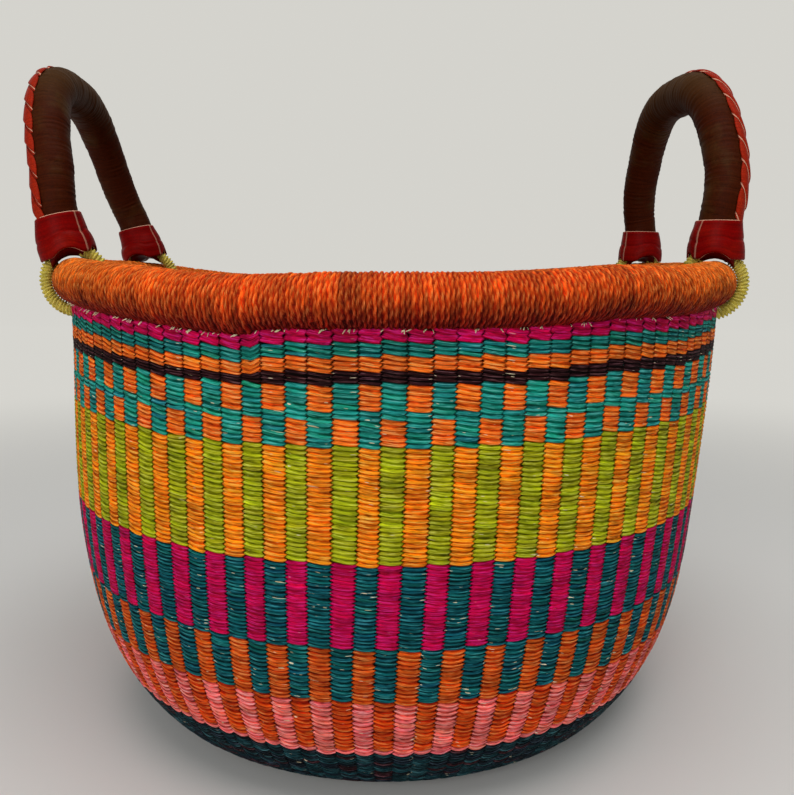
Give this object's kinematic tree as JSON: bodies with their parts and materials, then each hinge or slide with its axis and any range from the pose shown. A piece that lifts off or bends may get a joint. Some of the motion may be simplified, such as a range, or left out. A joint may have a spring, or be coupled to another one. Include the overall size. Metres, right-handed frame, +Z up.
{
  "type": "woven basket",
  "caption": "Round basket of dyed straw in ribbed colour bands, with a whipped rim roll and two leather-wrapped arched handles that swing on rope loops.",
  "frame": {"origin": "centre of the round underside, on the surface that the basket stands on", "axes": "+Z up, the two handles at -X and +X, and the middle of the open side between them facing -Y"},
  "size_m": [0.4109, 0.3956, 0.3804],
  "materials": {
    "dark_straw": "matt dyed straw, fine twining",
    "natural_straw": "undyed straw",
    "pink_straw": "dyed straw, pink and burnt orange columns",
    "rust_straw": "dyed straw, rust and teal columns",
    "magenta_straw": "dyed straw, magenta with teal columns",
    "lime_straw": "dyed straw, lime and orange columns",
    "teal_straw": "dyed straw, teal with orange squares",
    "orange_straw": "dyed straw",
    "black_straw": "near-black dyed straw",
    "rim_straw": "orange whipping of twisted straw",
    "rope": "yellow-green straw rope",
    "brown_leather": "dark brown wrapped leather, worn semi-matt",
    "red_leather": "red-brown leather, semi-gloss"
  },
  "bodies": {
    "basket": {"base_disc": "dark_straw", "base_band": "dark_straw", "stakes": "natural_straw", "band_pink_rust": "pink_straw", "band_rust_teal": "rust_straw", "band_magenta_teal": "magenta_straw", "band_lime_orange": "lime_straw", "band_checker": "teal_straw", "band_black": "black_straw", "band_orange": "orange_straw", "band_teal": "teal_straw", "band_magenta": "magenta_straw", "rim_core": "natural_straw", "rim_whipping": "rim_straw"},
    "handle_left": {"handle_left_core": "natural_straw", "handle_left_leather": "brown_leather", "handle_left_lacing": "red_leather", "handle_left_cuff_front": "red_leather", "handle_left_cuff_rear": "red_leather", "handle_left_loop_front": "rope", "handle_left_loop_rear": "rope"},
    "handle_right": {"handle_right_core": "natural_straw", "handle_right_leather": "brown_leather", "handle_right_lacing": "red_leather", "handle_right_cuff_front": "red_leather", "handle_right_cuff_rear": "red_leather", "handle_right_loop_front": "rope", "handle_right_loop_rear": "rope"}
  },
  "joints": [
    {"name": "handle_left_swing", "type": "hinge", "parent": "basket", "child": "handle_left", "pos_m": [-0.16846, 0, 0.2545], "axis": [0, 1, 0], "range_deg": [-41.2, 48.8]},
    {"name": "handle_right_swing", "type": "hinge", "parent": "basket", "child": "handle_right", "pos_m": [0.17726, 0, 0.2545], "axis": [0, -1, 0], "range_deg": [-54, 36]}
  ]
}
